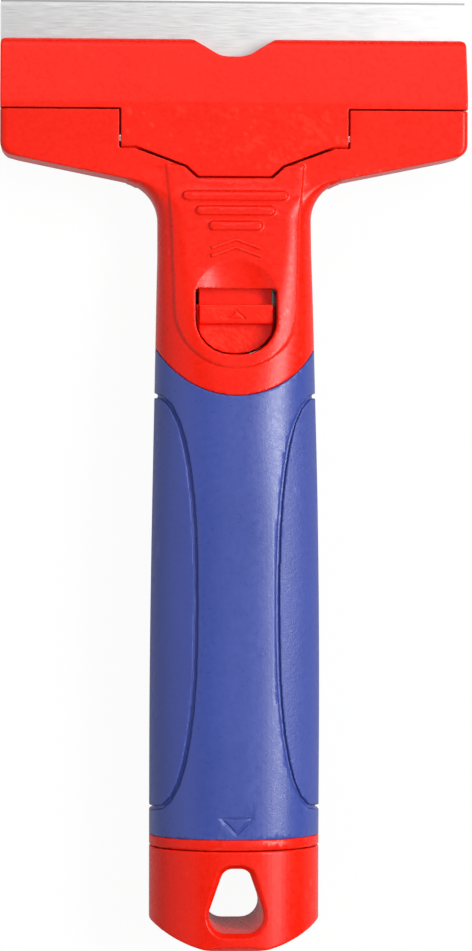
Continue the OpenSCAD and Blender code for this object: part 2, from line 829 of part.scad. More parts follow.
// Helical wire from z = 0 to length, as one tube of six sides
module coil(length, mean_d, wire, turns) {
  per_turn = 8;
  n = turns * per_turn;
  sides = 6;
  pitch = (length - wire) / turns;
  lean = atan(pitch / (PI * mean_d));
  points = [
    for (i = [0:n], k = [0:sides - 1])
      let (a = 360 * i / per_turn, b = 360 * k / sides, z = wire / 2 + pitch * i / per_turn)
      let (out = wire / 2 * cos(b) + mean_d / 2, up = wire / 2 * sin(b))
      [out * cos(a) + up * sin(lean) * sin(a), out * sin(a) - up * sin(lean) * cos(a), z + up * cos(lean)]
  ];
  faces = [
    for (i = [0:n - 1], k = [0:sides - 1])
      let (p = i * sides + k, q = i * sides + (k + 1) % sides)
        each [[p, q, q + sides], [p, q + sides, p + sides]]
  ];
  polyhedron(points = points, faces = concat(
    [[for (k = [0:sides - 1]) sides - 1 - k]],
    faces,
    [[for (k = [0:sides - 1]) n * sides + k]]
  ));
}

// Thin shield that hides the springs and slides in under the edge of the window
module spring_shield() color(red)
  block([-thumb_w / 2, at(slider_top + shield_root), shield_z],
    [thumb_w / 2, at(window_setback - shield_over), shield_z + shield_t]);

// Plate that closes the window behind the slide
module slider_backplate() color(red)
  intersection() {
    plan_prism(window_outline(0, skin_gap), backplate_z, backplate_z + backplate_t);
    block([backplate_gap - window_w / 2, at(window_end), 0],
      [window_w / 2 - backplate_gap, at(window_setback), backplate_z + backplate_t]);
  }

// Pull-off cap with the hang hole, its tube and the plug for the store
cap_wall = 2.4;
cap_end_r = 29.6;
cap_corner_r = 3;
cap_lip_r = 3.4;
hole_wall = 1.8;
bevel = 1;
bevel_depth = 1.2;
module end_cap() color(red)
  difference() {
    union() {
      intersection() {
        loft(concat(steps(cap_face, tool_len - cap_corner_r, coarse_step), [tool_len]));
        cap_plan();
        cap_side();
        union() {
          difference() {
            block([-blade_w, at(tool_len), -cut], [blade_w, at(cap_face), grip_top + cut]);
            loft([cap_face - cut, tool_len - hole_rim - cap_wall], -cap_wall);
          }
          plan_prism(hole_outline(hole_wall), -cut, grip_top + cut);
        }
      }
      cap_plug();
    }
    plan_prism(hole_outline(0), -cut, grip_top + cut);
    for (face = [0, 1])
      hole_bevel(face);
  }

// Rounded end of the cap in plan
module cap_plan()
  intersection() {
    block([-blade_w, at(tool_len), -cut], [blade_w, at(cap_face), grip_top + cut]);
    translate([0, at(tool_len - cap_end_r), -cut])
      cylinder(r = cap_end_r, h = grip_top + 2 * cut, $fn = 96);
    plan_prism(rounded(both_sides([
      [grip_w / 2 + cut, at(cap_face), 0],
      [grip_w / 2 + cut, at(tool_len), cap_corner_r + cut]
    ])), -cut, grip_top + cut);
  }

// Rounded end of the cap seen from the side
module cap_side()
  side_prism(rounded([
    [at(cap_face), -cut, 0],
    [at(cap_face), grip_top + cut, 0],
    [at(tool_len), grip_top + cut, cap_lip_r + cut],
    [at(tool_len), -cut, cap_lip_r + cut]
  ]), blade_w);

// Hollow plug that enters the store above the spare blades
module cap_plug() {
  low = store_floor + plug_drop - cap_gap;
  high = store_floor + store_h - cap_gap;
  half = store_w / 2 - cap_gap;
  difference() {
    block([-half, at(hole_top - hole_wall / 2), low], [half, at(collar_end - plug_len), high]);
    block([plug_wall - half, at(cap_face), low + plug_wall],
      [half - plug_wall, at(collar_end - plug_len - cut), high - plug_wall]);
  }
}

// Flared mouth of the hang hole on the front (face 1) or the back (face 0)
module hole_bevel(face) {
  mouth = hole_outline(bevel);
  throat = hole_outline(0);
  n = len(mouth);
  mid = hole_top + hole_len / 2;
  z_out = face == 1 ? front_z(mid) + seat_fit : back_z(mid) - seat_fit;
  z_in = face == 1 ? z_out - bevel_depth : z_out + bevel_depth;
  low = face == 1 ? [z_in, throat] : [z_out, mouth];
  high = face == 1 ? [z_out, mouth] : [z_in, throat];
  polyhedron(
    points = concat([for (p = low[1]) [p.x, p.y, low[0]]], [for (p = high[1]) [p.x, p.y, high[0]]]),
    faces = concat(
      [[for (k = [0:n - 1]) n - 1 - k]],
      [for (k = [0:n - 1]) each [[k, (k + 1) % n + n, k + n], [k, (k + 1) % n, (k + 1) % n + n]]],
      [[for (k = [0:n - 1]) n + k]]
    )
  );
}

body();
grip();
blade_cover();
blade();
hinge_pin();
lock_slider();
cam_pin();
return_springs();
spring_shield();
slider_backplate();
end_cap();
spare_blades();
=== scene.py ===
import bmesh
import bpy
import math
import numpy as np
from mathutils import Matrix, Vector
from mathutils.bvhtree import BVHTree


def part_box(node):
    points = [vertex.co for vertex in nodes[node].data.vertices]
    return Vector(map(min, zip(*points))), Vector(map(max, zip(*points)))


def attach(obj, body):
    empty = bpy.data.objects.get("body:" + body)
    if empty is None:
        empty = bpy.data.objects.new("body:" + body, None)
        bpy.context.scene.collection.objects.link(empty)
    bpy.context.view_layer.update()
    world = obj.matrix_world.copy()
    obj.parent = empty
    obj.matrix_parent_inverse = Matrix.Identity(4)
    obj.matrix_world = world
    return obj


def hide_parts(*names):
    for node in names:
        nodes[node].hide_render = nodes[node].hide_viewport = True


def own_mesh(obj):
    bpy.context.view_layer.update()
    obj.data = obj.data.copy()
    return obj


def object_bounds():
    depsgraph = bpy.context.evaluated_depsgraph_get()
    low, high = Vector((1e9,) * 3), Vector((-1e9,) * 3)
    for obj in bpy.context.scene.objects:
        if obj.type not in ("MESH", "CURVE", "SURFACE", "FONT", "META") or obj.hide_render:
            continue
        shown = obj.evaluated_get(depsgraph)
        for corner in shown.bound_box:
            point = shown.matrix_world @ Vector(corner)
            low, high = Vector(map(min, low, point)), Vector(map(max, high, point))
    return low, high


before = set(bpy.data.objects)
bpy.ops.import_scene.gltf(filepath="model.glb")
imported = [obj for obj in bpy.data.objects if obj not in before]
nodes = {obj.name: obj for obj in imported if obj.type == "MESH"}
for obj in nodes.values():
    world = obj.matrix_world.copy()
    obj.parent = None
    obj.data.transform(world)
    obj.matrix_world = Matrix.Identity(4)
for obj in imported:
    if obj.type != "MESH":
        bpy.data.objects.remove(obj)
cad_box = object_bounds()
mm = 0.001
tool_low, tool_high = cad_box
tool_len = (tool_high.y - tool_low.y) / mm
scene = bpy.context.scene


# Camera: looking down on the tool from 70 cm, from a little left of it and turned to its middle,
# so that the right walls of the window and the lower wall of the hang hole show.
# Its focal length is for a picture of 951 pixels along the tool.
picture_h, focal_px = 951, 3220
camera_place = (-34.7, 13.0, 700)
camera_turn = (-1.151, -2.919, 0.12)
camera_data = bpy.data.cameras.new("camera")
camera = bpy.data.objects.new("camera", camera_data)
scene.collection.objects.link(camera)
camera.location = [distance * mm for distance in camera_place]
camera.rotation_euler = [math.radians(turn) for turn in camera_turn]
camera_data.sensor_width = 36.0
camera_data.lens = camera_data.sensor_width * focal_px / picture_h
camera_data.clip_start = 0.01
scene.camera = camera
scene.view_settings.view_transform = "Standard"


# Floor and light: a pale ground that the camera sees as white with a faint shadow of the tool on it.
# Gloss and glass see a third of that white, and the light that it throws back is a mid grey sheet's.
# The main soft lamp stands to the right, with weaker ones at the head, the foot, above and to the left.
class Sheet:
    """Short hand for laying out one node tree."""

    def __init__(self, tree):
        self.tree = tree

    def add(self, kind, settings=None, **values):
        """New node with its settings, and its inputs given by name with _ for a space."""
        node = self.tree.nodes.new(kind)
        for key, value in (settings or {}).items():
            setattr(node, key, value)
        for key, value in values.items():
            self.put(node, key.replace("_", " "), value)
        return node

    def put(self, node, key, value):
        """Links or sets the input that key names or numbers."""
        socket = node.inputs[int(key)] if key.isdigit() else node.inputs[key]
        if isinstance(value, bpy.types.NodeSocket):
            self.tree.links.new(value, socket)
        else:
            socket.default_value = value

    def calc(self, operation, a, b, c=0.0, clamp=False):
        node = self.add("ShaderNodeMath", {"operation": operation, "use_clamp": clamp})
        for key, value in zip("012", (a, b, c)):
            self.put(node, key, value)
        return node.outputs[0]

    def range(self, value, low, high, to_low=0.0, to_high=1.0):
        node = self.add(
            "ShaderNodeMapRange", {"clamp": True}, Value=value, From_Min=low, From_Max=high,
            To_Min=to_low, To_Max=to_high)
        return node.outputs["Result"]

    def tint(self, factor, a, b):
        node = self.add("ShaderNodeMix", {"data_type": "RGBA"})
        for index, given in ((0, factor), (6, a), (7, b)):
            self.put(node, str(index), given)
        return node.outputs[2]


def new_finish(name):
    """Empty material, with the sheet on which its nodes are laid out."""
    material = bpy.data.materials.new(name)
    material.use_nodes = True
    material.node_tree.nodes.clear()
    return material, Sheet(material.node_tree)


def grey(value):
    return (value, value, value, 1)


floor_reach, floor_drop = 4.0, 0.2 * mm
thrown_back, matte_seen = grey(0.5), grey(0.95)
white_seen, white_mirrored = 0.95, 0.3
floor_mesh = bpy.data.meshes.new("floor")
floor_mesh.from_pydata(
    [(x * floor_reach, y * floor_reach, -floor_drop) for x, y in ((-1, -1), (1, -1), (1, 1), (-1, 1))],
    [], [(0, 1, 2, 3)])
floor = bpy.data.objects.new("floor", floor_mesh)
scene.collection.objects.link(floor)
floor_white, sheet = new_finish("floor_white")
ray = sheet.add("ShaderNodeLightPath").outputs
mirrored = sheet.calc("MAXIMUM", ray["Is Glossy Ray"], ray["Is Transmission Ray"])
white_share = sheet.calc(
    "MAXIMUM", sheet.calc("MULTIPLY", ray["Is Camera Ray"], white_seen),
    sheet.calc("MULTIPLY", mirrored, white_mirrored))
matte = sheet.add("ShaderNodeBsdfDiffuse", Color=sheet.tint(ray["Is Camera Ray"], thrown_back, matte_seen))
glow = sheet.add("ShaderNodeEmission", Color=grey(1), Strength=1.0)
blend = sheet.add("ShaderNodeMixShader", Fac=white_share)
sheet.put(blend, "1", matte.outputs[0])
sheet.put(blend, "2", glow.outputs[0])
sheet.add("ShaderNodeOutputMaterial", Surface=blend.outputs[0])
floor_mesh.materials.append(floor_white)

lamp_aim = Vector((0, 0, 0.01))
for name, place, size, power in (
        ("lamp_top", (0.38, 0.1, 1.5), (1.8, 1.6), 3.8),
        ("lamp_right", (0.70, 0.22, 0.9), (0.95, 0.28), 12.5),
        ("lamp_left", (-1.3, 0.1, 0.75), (2.2, 1.6), 6.2),
        ("lamp_head", (0.05, 1.2, 0.95), (1.2, 0.5), 3.8),
        ("lamp_foot", (0.0, -1.2, 0.95), (1.2, 0.5), 2.8)):
    lamp_data = bpy.data.lights.new(name, "AREA")
    lamp_data.shape = "RECTANGLE"
    lamp_data.size, lamp_data.size_y = size
    lamp_data.energy = power
    lamp = bpy.data.objects.new(name, lamp_data)
    scene.collection.objects.link(lamp)
    lamp.location = place
    lamp.rotation_euler = (lamp_aim - Vector(place)).to_track_quat("-Z", "Y").to_euler()

world = bpy.data.worlds.new("sky")
world.use_nodes = True
sky = world.node_tree.nodes["Background"].inputs
sky["Color"].default_value = (0.95, 0.97, 1.0, 1)
sky["Strength"].default_value = 0.09
scene.world = world


# Red moulding of the tool: back plate, ears, neck with its raised panel and ribs, core and collar.
# It is one injection moulding in satin red plastic, with small rounds on all its edges,
# so its solid is remeshed fine and its drawn-out faces are laid on the smooth form that it is cut from.
head_w, head_t = 100.0, 13.0
neck_w, grip_w = 32.7, 36.2
growth_start, growth_end = 55, 160
grip_top = 26.2
rise_start, rise_end = 36, 110
arch_h = 5.0
arch_start, arch_end = 40, tool_len - 10
edge_r = 1.3
round_start, round_mid, round_end = 34, 48, 92
neck_rx, neck_rz = 6.0, 5.0
grip_rx_share, grip_rz_share = 0.94, 0.92
shoulder_setback, shoulder_r = 31.0, 3.0
shoulder_fall = math.radians(11.6)
shoulder_fillet = 9.0
ear_setback = 24.0
arc_setback, arc_r = 65.7, 19.2
cap_len, collar_len = 21.8, 2.3
panel_h, rib_h = 0.45, 0.7
rib_start, rib_end = 38, 56
collar_end = tool_len - cap_len
grip_end = collar_end - collar_len


def clamp01(t):
    return min(1.0, max(0.0, t))


def ease(t):
    return (1 - math.cos(math.pi * clamp01(t))) / 2


def swell(t):
    return math.sin(math.pi / 2 * clamp01(t))


def mix(a, b, t):
    return a + (b - a) * t


corner_end = shoulder_setback + shoulder_r * math.cos(shoulder_fall)
corner_x = head_w / 2 - shoulder_r + shoulder_r * math.sin(shoulder_fall)
fillet_x = neck_w / 2 + shoulder_fillet
fillet_start = corner_end + (
    corner_x - fillet_x + shoulder_fillet * math.sin(shoulder_fall)) * math.tan(shoulder_fall)
fillet_end = fillet_start + shoulder_fillet * math.cos(shoulder_fall)


def half_width(d):
    """Half width of the tool at distance d from the cutting edge, in millimetres."""
    if d <= shoulder_setback:
        return head_w / 2
    if d <= corner_end:
        return head_w / 2 - shoulder_r + math.sqrt(shoulder_r ** 2 - (d - shoulder_setback) ** 2)
    if d <= fillet_start:
        return corner_x - (d - corner_end) / math.tan(shoulder_fall)
    if d <= fillet_end:
        return fillet_x - math.sqrt(max(0, shoulder_fillet ** 2 - (fillet_end - d) ** 2))
    return mix(neck_w, grip_w, swell((d - growth_start) / (growth_end - growth_start))) / 2


def front_z(d):
    return mix(head_t, grip_top, swell((d - rise_start) / (rise_end - rise_start)))


def back_z(d):
    return arch_h * math.sin(math.pi * clamp01((d - arch_start) / (arch_end - arch_start))) ** 2


def ring(d, grow, steps):
    """Section of the moulded form at d, grown outwards, as points in metres."""
    half_t = (front_z(d) - back_z(d)) / 2
    if d < round_mid:
        share = ease((d - round_start) / (round_mid - round_start))
        rx, rz = mix(edge_r, neck_rx, share), mix(edge_r, neck_rz, share)
    else:
        share = ease((d - round_mid) / (round_end - round_mid))
        rx = mix(neck_rx, grip_rx_share * half_width(d), share)
        rz = mix(neck_rz, grip_rz_share * half_t, share)
    w, top, low = half_width(d) + grow, front_z(d) + grow, back_z(d) - grow
    rx = min(w, max(edge_r / 2, rx + grow))
    rz = min((top - low) / 2, max(edge_r / 2, rz + grow))
    y = tool_len / 2 - d
    corners = ((w - rx, top - rz), (rx - w, top - rz), (rx - w, low + rz), (w - rx, low + rz))
    points = []
    for quarter, (cx, cz) in enumerate(corners):
        for i in range(steps + 1):
            a = math.pi / 2 * (quarter + i / steps)
            points.append(((cx + rx * math.cos(a)) * mm, y * mm, (cz + rz * math.sin(a)) * mm))
    return points


def smooth_form(start, end, grow, spacing=0.6, steps=24):
    """Search tree of the smooth form between two distances."""
    count = max(2, round((end - start) / spacing))
    rings = [ring(start + (end - start) * i / count, grow, steps) for i in range(count + 1)]
    n = len(rings[0])
    points = [point for section in rings for point in section]
    faces = [
        (i * n + k, (i + 1) * n + k, (i + 1) * n + (k + 1) % n, i * n + (k + 1) % n)
        for i in range(count) for k in range(n)]
    return BVHTree.FromPolygons(points, faces)


def evaluated_copy(obj, name):
    """Plain mesh object of what obj is with its modifiers; obj itself is removed."""
    depsgraph = bpy.context.evaluated_depsgraph_get()
    mesh = bpy.data.meshes.new_from_object(obj.evaluated_get(depsgraph))
    copy = bpy.data.objects.new(name, mesh)
    scene.collection.objects.link(copy)
    bpy.data.objects.remove(obj)
    return copy


def modified(obj, name, *steps):
    """obj with modifiers given as (type, settings), made plain."""
    for kind, settings in steps:
        modifier = obj.modifiers.new(kind.lower(), kind)
        for key, value in settings.items():
            setattr(modifier, key, value)
    return evaluated_copy(obj, name)


def merged_copy(node, name):
    """Copy of a CAD node's mesh with its loose triangles joined."""
    copy = bpy.data.objects.new(name, nodes[node].data.copy())
    copy.data.materials.clear()
    scene.collection.objects.link(copy)
    mesh = bmesh.new()
    mesh.from_mesh(copy.data)
    bmesh.ops.remove_doubles(mesh, verts=mesh.verts, dist=1e-6)
    mesh.to_mesh(copy.data)
    mesh.free()
    return copy


def read_vectors(items, key):
    values = np.empty(len(items) * 3)
    items.foreach_get(key, values)
    return values.reshape(-1, 3)


marked_reach, marked_agree = 0.17 * mm, 0.975


def laid_on(obj, forms, marked, reach, agree=0.95):
    """Moves the points of obj that lie close to one of the smooth forms, and face as it does, onto it.
    Between the two corners in marked only points very close to it move, so that an engraved mark stays sharp."""
    mesh = obj.data
    places = read_vectors(mesh.vertices, "co")
    facing = read_vectors(mesh.vertex_normals, "vector")
    for i, (start, way) in enumerate(zip(places.tolist(), facing.tolist())):
        nearest, alike = reach, agree
        if marked and all(low <= x <= high for low, x, high in zip(marked[0], start, marked[1])):
            nearest, alike = marked_reach, marked_agree
        for form in forms:
            place, normal, _, gap = form.find_nearest(start, nearest)
            if place is not None and gap < nearest and abs(normal.dot(way)) > alike:
                places[i] = place
                nearest = gap
    mesh.vertices.foreach_set("co", places.ravel())
    mesh.update()


def shade_smooth(obj):
    obj.data.polygons.foreach_set("use_smooth", np.ones(len(obj.data.polygons), bool))
    obj.data.update()


def moulded(node, voxel, forms=(), rounds=2, most=190000, marked=None, reach=0.22 * mm):
    """Finely remeshed copy of a CAD node, with small rounds on its edges and smooth outer faces."""
    piece = merged_copy(node, node + "_raw")
    voxel *= 1
    piece = modified(
        piece, node + "_fine",
        ("REMESH", {"mode": "VOXEL", "voxel_size": voxel * mm}), ("SMOOTH", {"factor": 0.5, "iterations": rounds}))
    if forms:
        laid_on(piece, forms, marked, reach)
    keep = min(1.0, most / (2 * len(piece.data.polygons)))
    piece = modified(piece, node + "_moulding", ("DECIMATE", {"ratio": keep}))
    shade_smooth(piece)
    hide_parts(node)
    return piece


# The skin of both plastics: a spark-eroded mould leaves its grain in it, and handling rubs the raised edges
# smoother.
# The raised edges are also painted paler, partly wear and partly a painted highlight, and the corners darker as
# painted shade; both follow how sharply the surface bends.
def new_group(name, kind, inputs, outputs):
    """Node group with its named inputs and outputs, each as (name, kind) or (name, kind, value).
    Gives the group, its sheet, its inputs' sockets and its output node."""
    group = bpy.data.node_groups.new(name, kind)
    for way, sockets in (("INPUT", inputs), ("OUTPUT", outputs)):
        for label, socket_kind, *value in sockets:
            socket = group.interface.new_socket(label, in_out=way, socket_type="NodeSocket" + socket_kind)
            if value:
                socket.default_value = value[0]
    sheet = Sheet(group)
    return group, sheet, sheet.add("NodeGroupInput").outputs, sheet.add("NodeGroupOutput")


skin_outputs = (("Colour", "Color"), ("Roughness", "Float"), ("Height", "Float"))
moulded_skin, sheet, given, result = new_group(
    "moulded_skin", "ShaderNodeTree",
    (("Colour", "Color"), ("Deep Colour", "Color"), ("Rubbed Colour", "Color"),
     ("Roughness", "Float", 0.4), ("Grain Scale", "Float", 2400.0), ("Coarse Patch", "Float", 0.0)),
    skin_outputs)
place = sheet.add("ShaderNodeTexCoord").outputs["Object"]
bend = sheet.add("ShaderNodeNewGeometry").outputs["Pointiness"]
grain = sheet.add("ShaderNodeTexNoise", Vector=place, Scale=given["Grain Scale"], Detail=3.0, Roughness=0.65)
speck = sheet.add(
    "ShaderNodeTexVoronoi", {"feature": "SMOOTH_F1"}, Vector=place,
    Scale=sheet.calc("MULTIPLY", given["Grain Scale"], 0.5))
cloud = sheet.add("ShaderNodeTexNoise", Vector=place, Scale=45.0, Detail=5.0, Roughness=0.6).outputs["Fac"]
mottle = sheet.add("ShaderNodeTexNoise", Vector=place, Scale=900.0, Detail=2.0).outputs["Fac"]
patch = given["Coarse Patch"]

# Where the raised edges get paler (wear and painted highlight), where the corners get painted shade, and how
# unevenly it took its colour.
rubbed_and_highlit = sheet.calc("MULTIPLY", sheet.range(bend, 0.525, 0.60), sheet.range(cloud, 0.35, 0.6), clamp=True)
corner = sheet.range(bend, 0.46, 0.39)
shade = sheet.calc("ADD", sheet.range(cloud, 0.3, 0.7, 0.0, 0.6), sheet.range(mottle, 0.3, 0.7, 0.0, 0.4))
ground = sheet.tint(shade, given["Deep Colour"], given["Colour"])
# Concave corners are darkened towards the deep colour: painted shade.
corner_shaded = sheet.tint(sheet.calc("MULTIPLY", corner, 0.5), ground, given["Deep Colour"])
# Raised edges are tinted towards the rubbed colour: partly wear, partly a painted highlight.
worn_and_highlit = sheet.tint(sheet.calc("MULTIPLY", rubbed_and_highlit, 0.4), corner_shaded, given["Rubbed Colour"])
sheet.put(result, "Colour", worn_and_highlit)

# Rubbed places are smoother, and the pads of the grip rougher.
rough = sheet.calc("ADD", given["Roughness"], sheet.range(mottle, 0.25, 0.75, -0.07, 0.07))
rough = sheet.calc("MULTIPLY_ADD", cloud, 0.10, sheet.calc("SUBTRACT", rough, 0.05))
rough = sheet.calc("MULTIPLY_ADD", rubbed_and_highlit, -0.08, rough)
sheet.put(result, "Roughness", sheet.calc("MULTIPLY_ADD", patch, 0.10, rough, clamp=True))

# The grain is more than twice as high on the pads, with small pits in it.
height = sheet.calc("MULTIPLY", grain.outputs["Fac"], sheet.calc("MULTIPLY_ADD", patch, 1.5, 0.7))
height = sheet.calc("MULTIPLY_ADD", sheet.calc("MULTIPLY", speck.outputs["Distance"], patch), 0.8, height)
sheet.put(result, "Height", height)


def plastic(name, colour, deep, rubbed_and_highlit, roughness, grain, depth, gloss, pads=False):
    """Moulded plastic with the grained skin above, its raised edges painted paler (wear and painted highlight) and
    its corners darker (painted shade); depth is its grain's, in millimetres.
    """
    material, sheet = new_finish(name)
    skin = sheet.add("ShaderNodeGroup", {"node_tree": moulded_skin})
    for key, value in (("Colour", (*colour, 1)), ("Deep Colour", (*deep, 1)), ("Rubbed Colour", (*rubbed_and_highlit, 1)),
                       ("Roughness", roughness), ("Grain Scale", grain)):
        sheet.put(skin, key, value)
    if pads:
        sheet.put(skin, "Coarse Patch", sheet.add("ShaderNodeAttribute", {"attribute_name": "pad"}).outputs["Fac"])
    relief = sheet.add("ShaderNodeBump", Strength=1.0, Distance=depth * mm, Height=skin.outputs["Height"])
    surface = sheet.add(
        "ShaderNodeBsdfPrincipled", IOR=1.46, Base_Color=skin.outputs["Colour"],
        Roughness=skin.outputs["Roughness"], Specular_IOR_Level=gloss, Normal=relief.outputs["Normal"])
    sheet.add("ShaderNodeOutputMaterial", Surface=surface.outputs["BSDF"])
    return material


# The rubbed colour paints the raised edges paler: partly wear, partly a painted highlight.
red_plastic = plastic(
    "red_plastic", colour=(0.95, 0.015, 0.002), deep=(0.86, 0.009, 0.001), rubbed_and_highlit=(0.96, 0.07, 0.04),
    roughness=0.29, grain=2600, depth=0.02, gloss=0.33)


def red_part(node, rides, voxel, forms=()):
    """Red plastic piece in place of a CAD node, on the body that carries it."""
    piece = moulded(node, voxel, forms)
    piece.data.materials.append(red_plastic)
    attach(piece, rides)


neck_end = arc_setback + arc_r + 1
red_part("body", "root", 0.25, [
    smooth_form(ear_setback, neck_end, 0),
    smooth_form(shoulder_setback, neck_end, panel_h),
    smooth_form(rib_start, rib_end, panel_h + rib_h),
    smooth_form(grip_end, collar_end, 0)])


# Thumb mark: two raised chevrons moulded on the neck's panel above the window, pointing the way the slide is
# pushed. They are part of the same red moulding, and follow the slope of the panel.
def grown(name, group, inputs):
    """Plain mesh object grown by a geometry node group from its named inputs."""
    seed = bpy.data.objects.new(name + "_seed", bpy.data.meshes.new(name + "_seed"))
    scene.collection.objects.link(seed)
    modifier = seed.modifiers.new("growth", "NODES")
    modifier.node_group = group
    for item in group.interface.items_tree:
        if item.item_type == "SOCKET" and item.in_out == "INPUT":
            modifier[item.identifier] = inputs[item.name]
    return evaluated_copy(seed, name)


def position(sheet):
    """Where each point is, split into X, Y and Z."""
    spot = sheet.add("ShaderNodeSeparateXYZ", Vector=sheet.add("GeometryNodeInputPosition").outputs[0])
    return spot.outputs


chevron_growth, sheet, given, result = new_group(
    "chevron_growth", "GeometryNodeTree",
    (("Count", "Int"), ("Half Width", "Float"), ("Rise", "Float"), ("Pitch", "Float"), ("Bar Radius", "Float"),
     ("Slope", "Float"), ("Finish", "Material")),
    (("Geometry", "Geometry"),))
left = sheet.add("ShaderNodeCombineXYZ", X=sheet.calc("MULTIPLY", given["Half Width"], -1.0))
reach = sheet.add("ShaderNodeCombineXYZ", X=given["Half Width"])
knees = sheet.add("GeometryNodeMeshLine", Count=3, Start_Location=left.outputs[0], Offset=reach.outputs[0])
side = sheet.calc("DIVIDE", sheet.calc("ABSOLUTE", position(sheet)["X"], 0.0), given["Half Width"])
fall = sheet.calc("MULTIPLY", sheet.calc("MULTIPLY", side, given["Rise"]), -1.0)
drop = sheet.add("ShaderNodeCombineXYZ", Y=fall)
bent = sheet.add("GeometryNodeSetPosition", Geometry=knees.outputs["Mesh"], Offset=drop.outputs[0])
path = sheet.add("GeometryNodeMeshToCurve", Mesh=bent.outputs["Geometry"])
round_bar = sheet.add("GeometryNodeCurvePrimitiveCircle", Resolution=16, Radius=given["Bar Radius"])
bar = sheet.add(
    "GeometryNodeCurveToMesh", Curve=path.outputs["Curve"], Profile_Curve=round_bar.outputs["Curve"], Fill_Caps=True)
step = sheet.add("ShaderNodeCombineXYZ", Y=given["Pitch"])
rows = sheet.add("GeometryNodeMeshLine", Count=given["Count"], Offset=step.outputs[0])
copies = sheet.add("GeometryNodeInstanceOnPoints", Points=rows.outputs["Mesh"], Instance=bar.outputs["Mesh"])
real = sheet.add("GeometryNodeRealizeInstances", Geometry=copies.outputs["Instances"])
lean = sheet.add("ShaderNodeCombineXYZ", Z=sheet.calc("MULTIPLY", position(sheet)["Y"], given["Slope"]))
tipped = sheet.add("GeometryNodeSetPosition", Geometry=real.outputs["Geometry"], Offset=lean.outputs[0])
dyed = sheet.add("GeometryNodeSetMaterial", Geometry=tipped.outputs["Geometry"], Material=given["Finish"])
sheet.put(result, "Geometry", dyed.outputs["Geometry"])

mark_d = 53.5
mark_slope = (front_z(mark_d - 1) - front_z(mark_d + 1)) / 2
chevrons = grown("thumb_chevrons", chevron_growth, {
    "Count": 2, "Half Width": 5.2 * mm, "Rise": 1.9 * mm, "Pitch": 1.7 * mm, "Bar Radius": 0.42 * mm,
    "Slope": mark_slope, "Finish": red_plastic})
chevrons.data.transform(Matrix.Translation((0, (tool_len / 2 - mark_d) * mm, (front_z(mark_d) + panel_h) * mm)))
shade_smooth(chevrons)
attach(chevrons, "root")


# Blade cover: the hinged front half of the clamp, in the same red plastic.
# Its lip is scooped in the middle so that a finger can reach the blade.
red_part("blade_cover", "cover", 0.2)


# Blade: hardened strip steel, ground along its length and bevelled on both long edges.
# The grinding marks run along the cutting edge, and the same steel is used for the spare blades.
ground_steel, sheet, given, result = new_group(
    "ground_steel", "ShaderNodeTree",
    (("Colour", "Color"), ("Dark Colour", "Color"), ("Roughness", "Float", 0.35), ("Line Scale", "Vector")),
    skin_outputs)
place = sheet.add("ShaderNodeTexCoord").outputs["Object"]
bend = sheet.add("ShaderNodeNewGeometry").outputs["Pointiness"]
along = sheet.add("ShaderNodeVectorMath", {"operation": "MULTIPLY"})
sheet.put(along, "0", place)
sheet.put(along, "1", given["Line Scale"])
lines = sheet.add("ShaderNodeTexNoise", Vector=along.outputs[0], Scale=1.0, Detail=4.0, Roughness=0.6).outputs["Fac"]
cloud = sheet.add("ShaderNodeTexNoise", Vector=place, Scale=60.0, Detail=4.0).outputs["Fac"]
pits = sheet.add("ShaderNodeTexNoise", Vector=place, Scale=1400.0, Detail=2.0).outputs["Fac"]
pit = sheet.range(pits, 0.68, 0.74)
edge = sheet.range(bend, 0.52, 0.6)
bright = sheet.calc("ADD", sheet.range(lines, 0.3, 0.7, 0.0, 0.65), sheet.range(cloud, 0.3, 0.7, 0.0, 0.35))
bright = sheet.calc("SUBTRACT", bright, sheet.calc("MULTIPLY", pit, 0.9), clamp=True)
ground = sheet.tint(bright, given["Dark Colour"], given["Colour"])
# Convex edges are painted paler towards light grey: a painted highlight.
sheet.put(result, "Colour", sheet.tint(sheet.calc("MULTIPLY", edge, 0.5), ground, grey(0.9)))
rough = sheet.calc("ADD", sheet.range(lines, 0.3, 0.7, -0.08, 0.10), given["Roughness"])
rough = sheet.calc("MULTIPLY_ADD", pit, 0.2, rough)
sheet.put(result, "Roughness", sheet.calc("MULTIPLY_ADD", edge, -0.06, rough, clamp=True))
sheet.put(result, "Height", sheet.calc("SUBTRACT", lines, sheet.calc("MULTIPLY", pit, 0.6)))

fine_lines, long_lines = 5200.0, 200.0
scratch_depth = 0.004 * mm


def brushed(name, colour, dark, roughness, along, bevels=None):
    """Ground steel with scratches along X (0) or Y (1).
    Its bevels, painted darker as painted shade on their slanted faces, are given by where they end along Y, low and
    high, and by their width."""
    material, sheet = new_finish(name)
    skin = sheet.add("ShaderNodeGroup", {"node_tree": ground_steel})
    for key, value in (("Colour", (colour, colour, colour * 0.99, 1)), ("Dark Colour", grey(dark)),
                       ("Roughness", roughness),
                       ("Line Scale", [long_lines if axis == along else fine_lines for axis in range(3)])):
        sheet.put(skin, key, value)
    ground = skin.outputs["Colour"]
    if bevels:
        low, high, width = bevels
        y = sheet.add("ShaderNodeSeparateXYZ", Vector=sheet.add("ShaderNodeTexCoord").outputs["Object"]).outputs["Y"]
        front = sheet.range(y, high - width * 1.15, high - width * 0.85)
        rear = sheet.range(y, low + width * 1.15, low + width * 0.85)
        # The bevel bands are painted darker: painted shade.
        ground = sheet.tint(sheet.calc("MAXIMUM", front, rear), ground, bevel_shade_colour)
    relief = sheet.add("ShaderNodeBump", Strength=1.0, Distance=scratch_depth, Height=skin.outputs["Height"])
    surface = sheet.add(
        "ShaderNodeBsdfPrincipled", Metallic=1.0, Base_Color=ground, Roughness=skin.outputs["Roughness"],
        Normal=relief.outputs["Normal"])
    sheet.add("ShaderNodeOutputMaterial", Surface=surface.outputs["BSDF"])
    return material


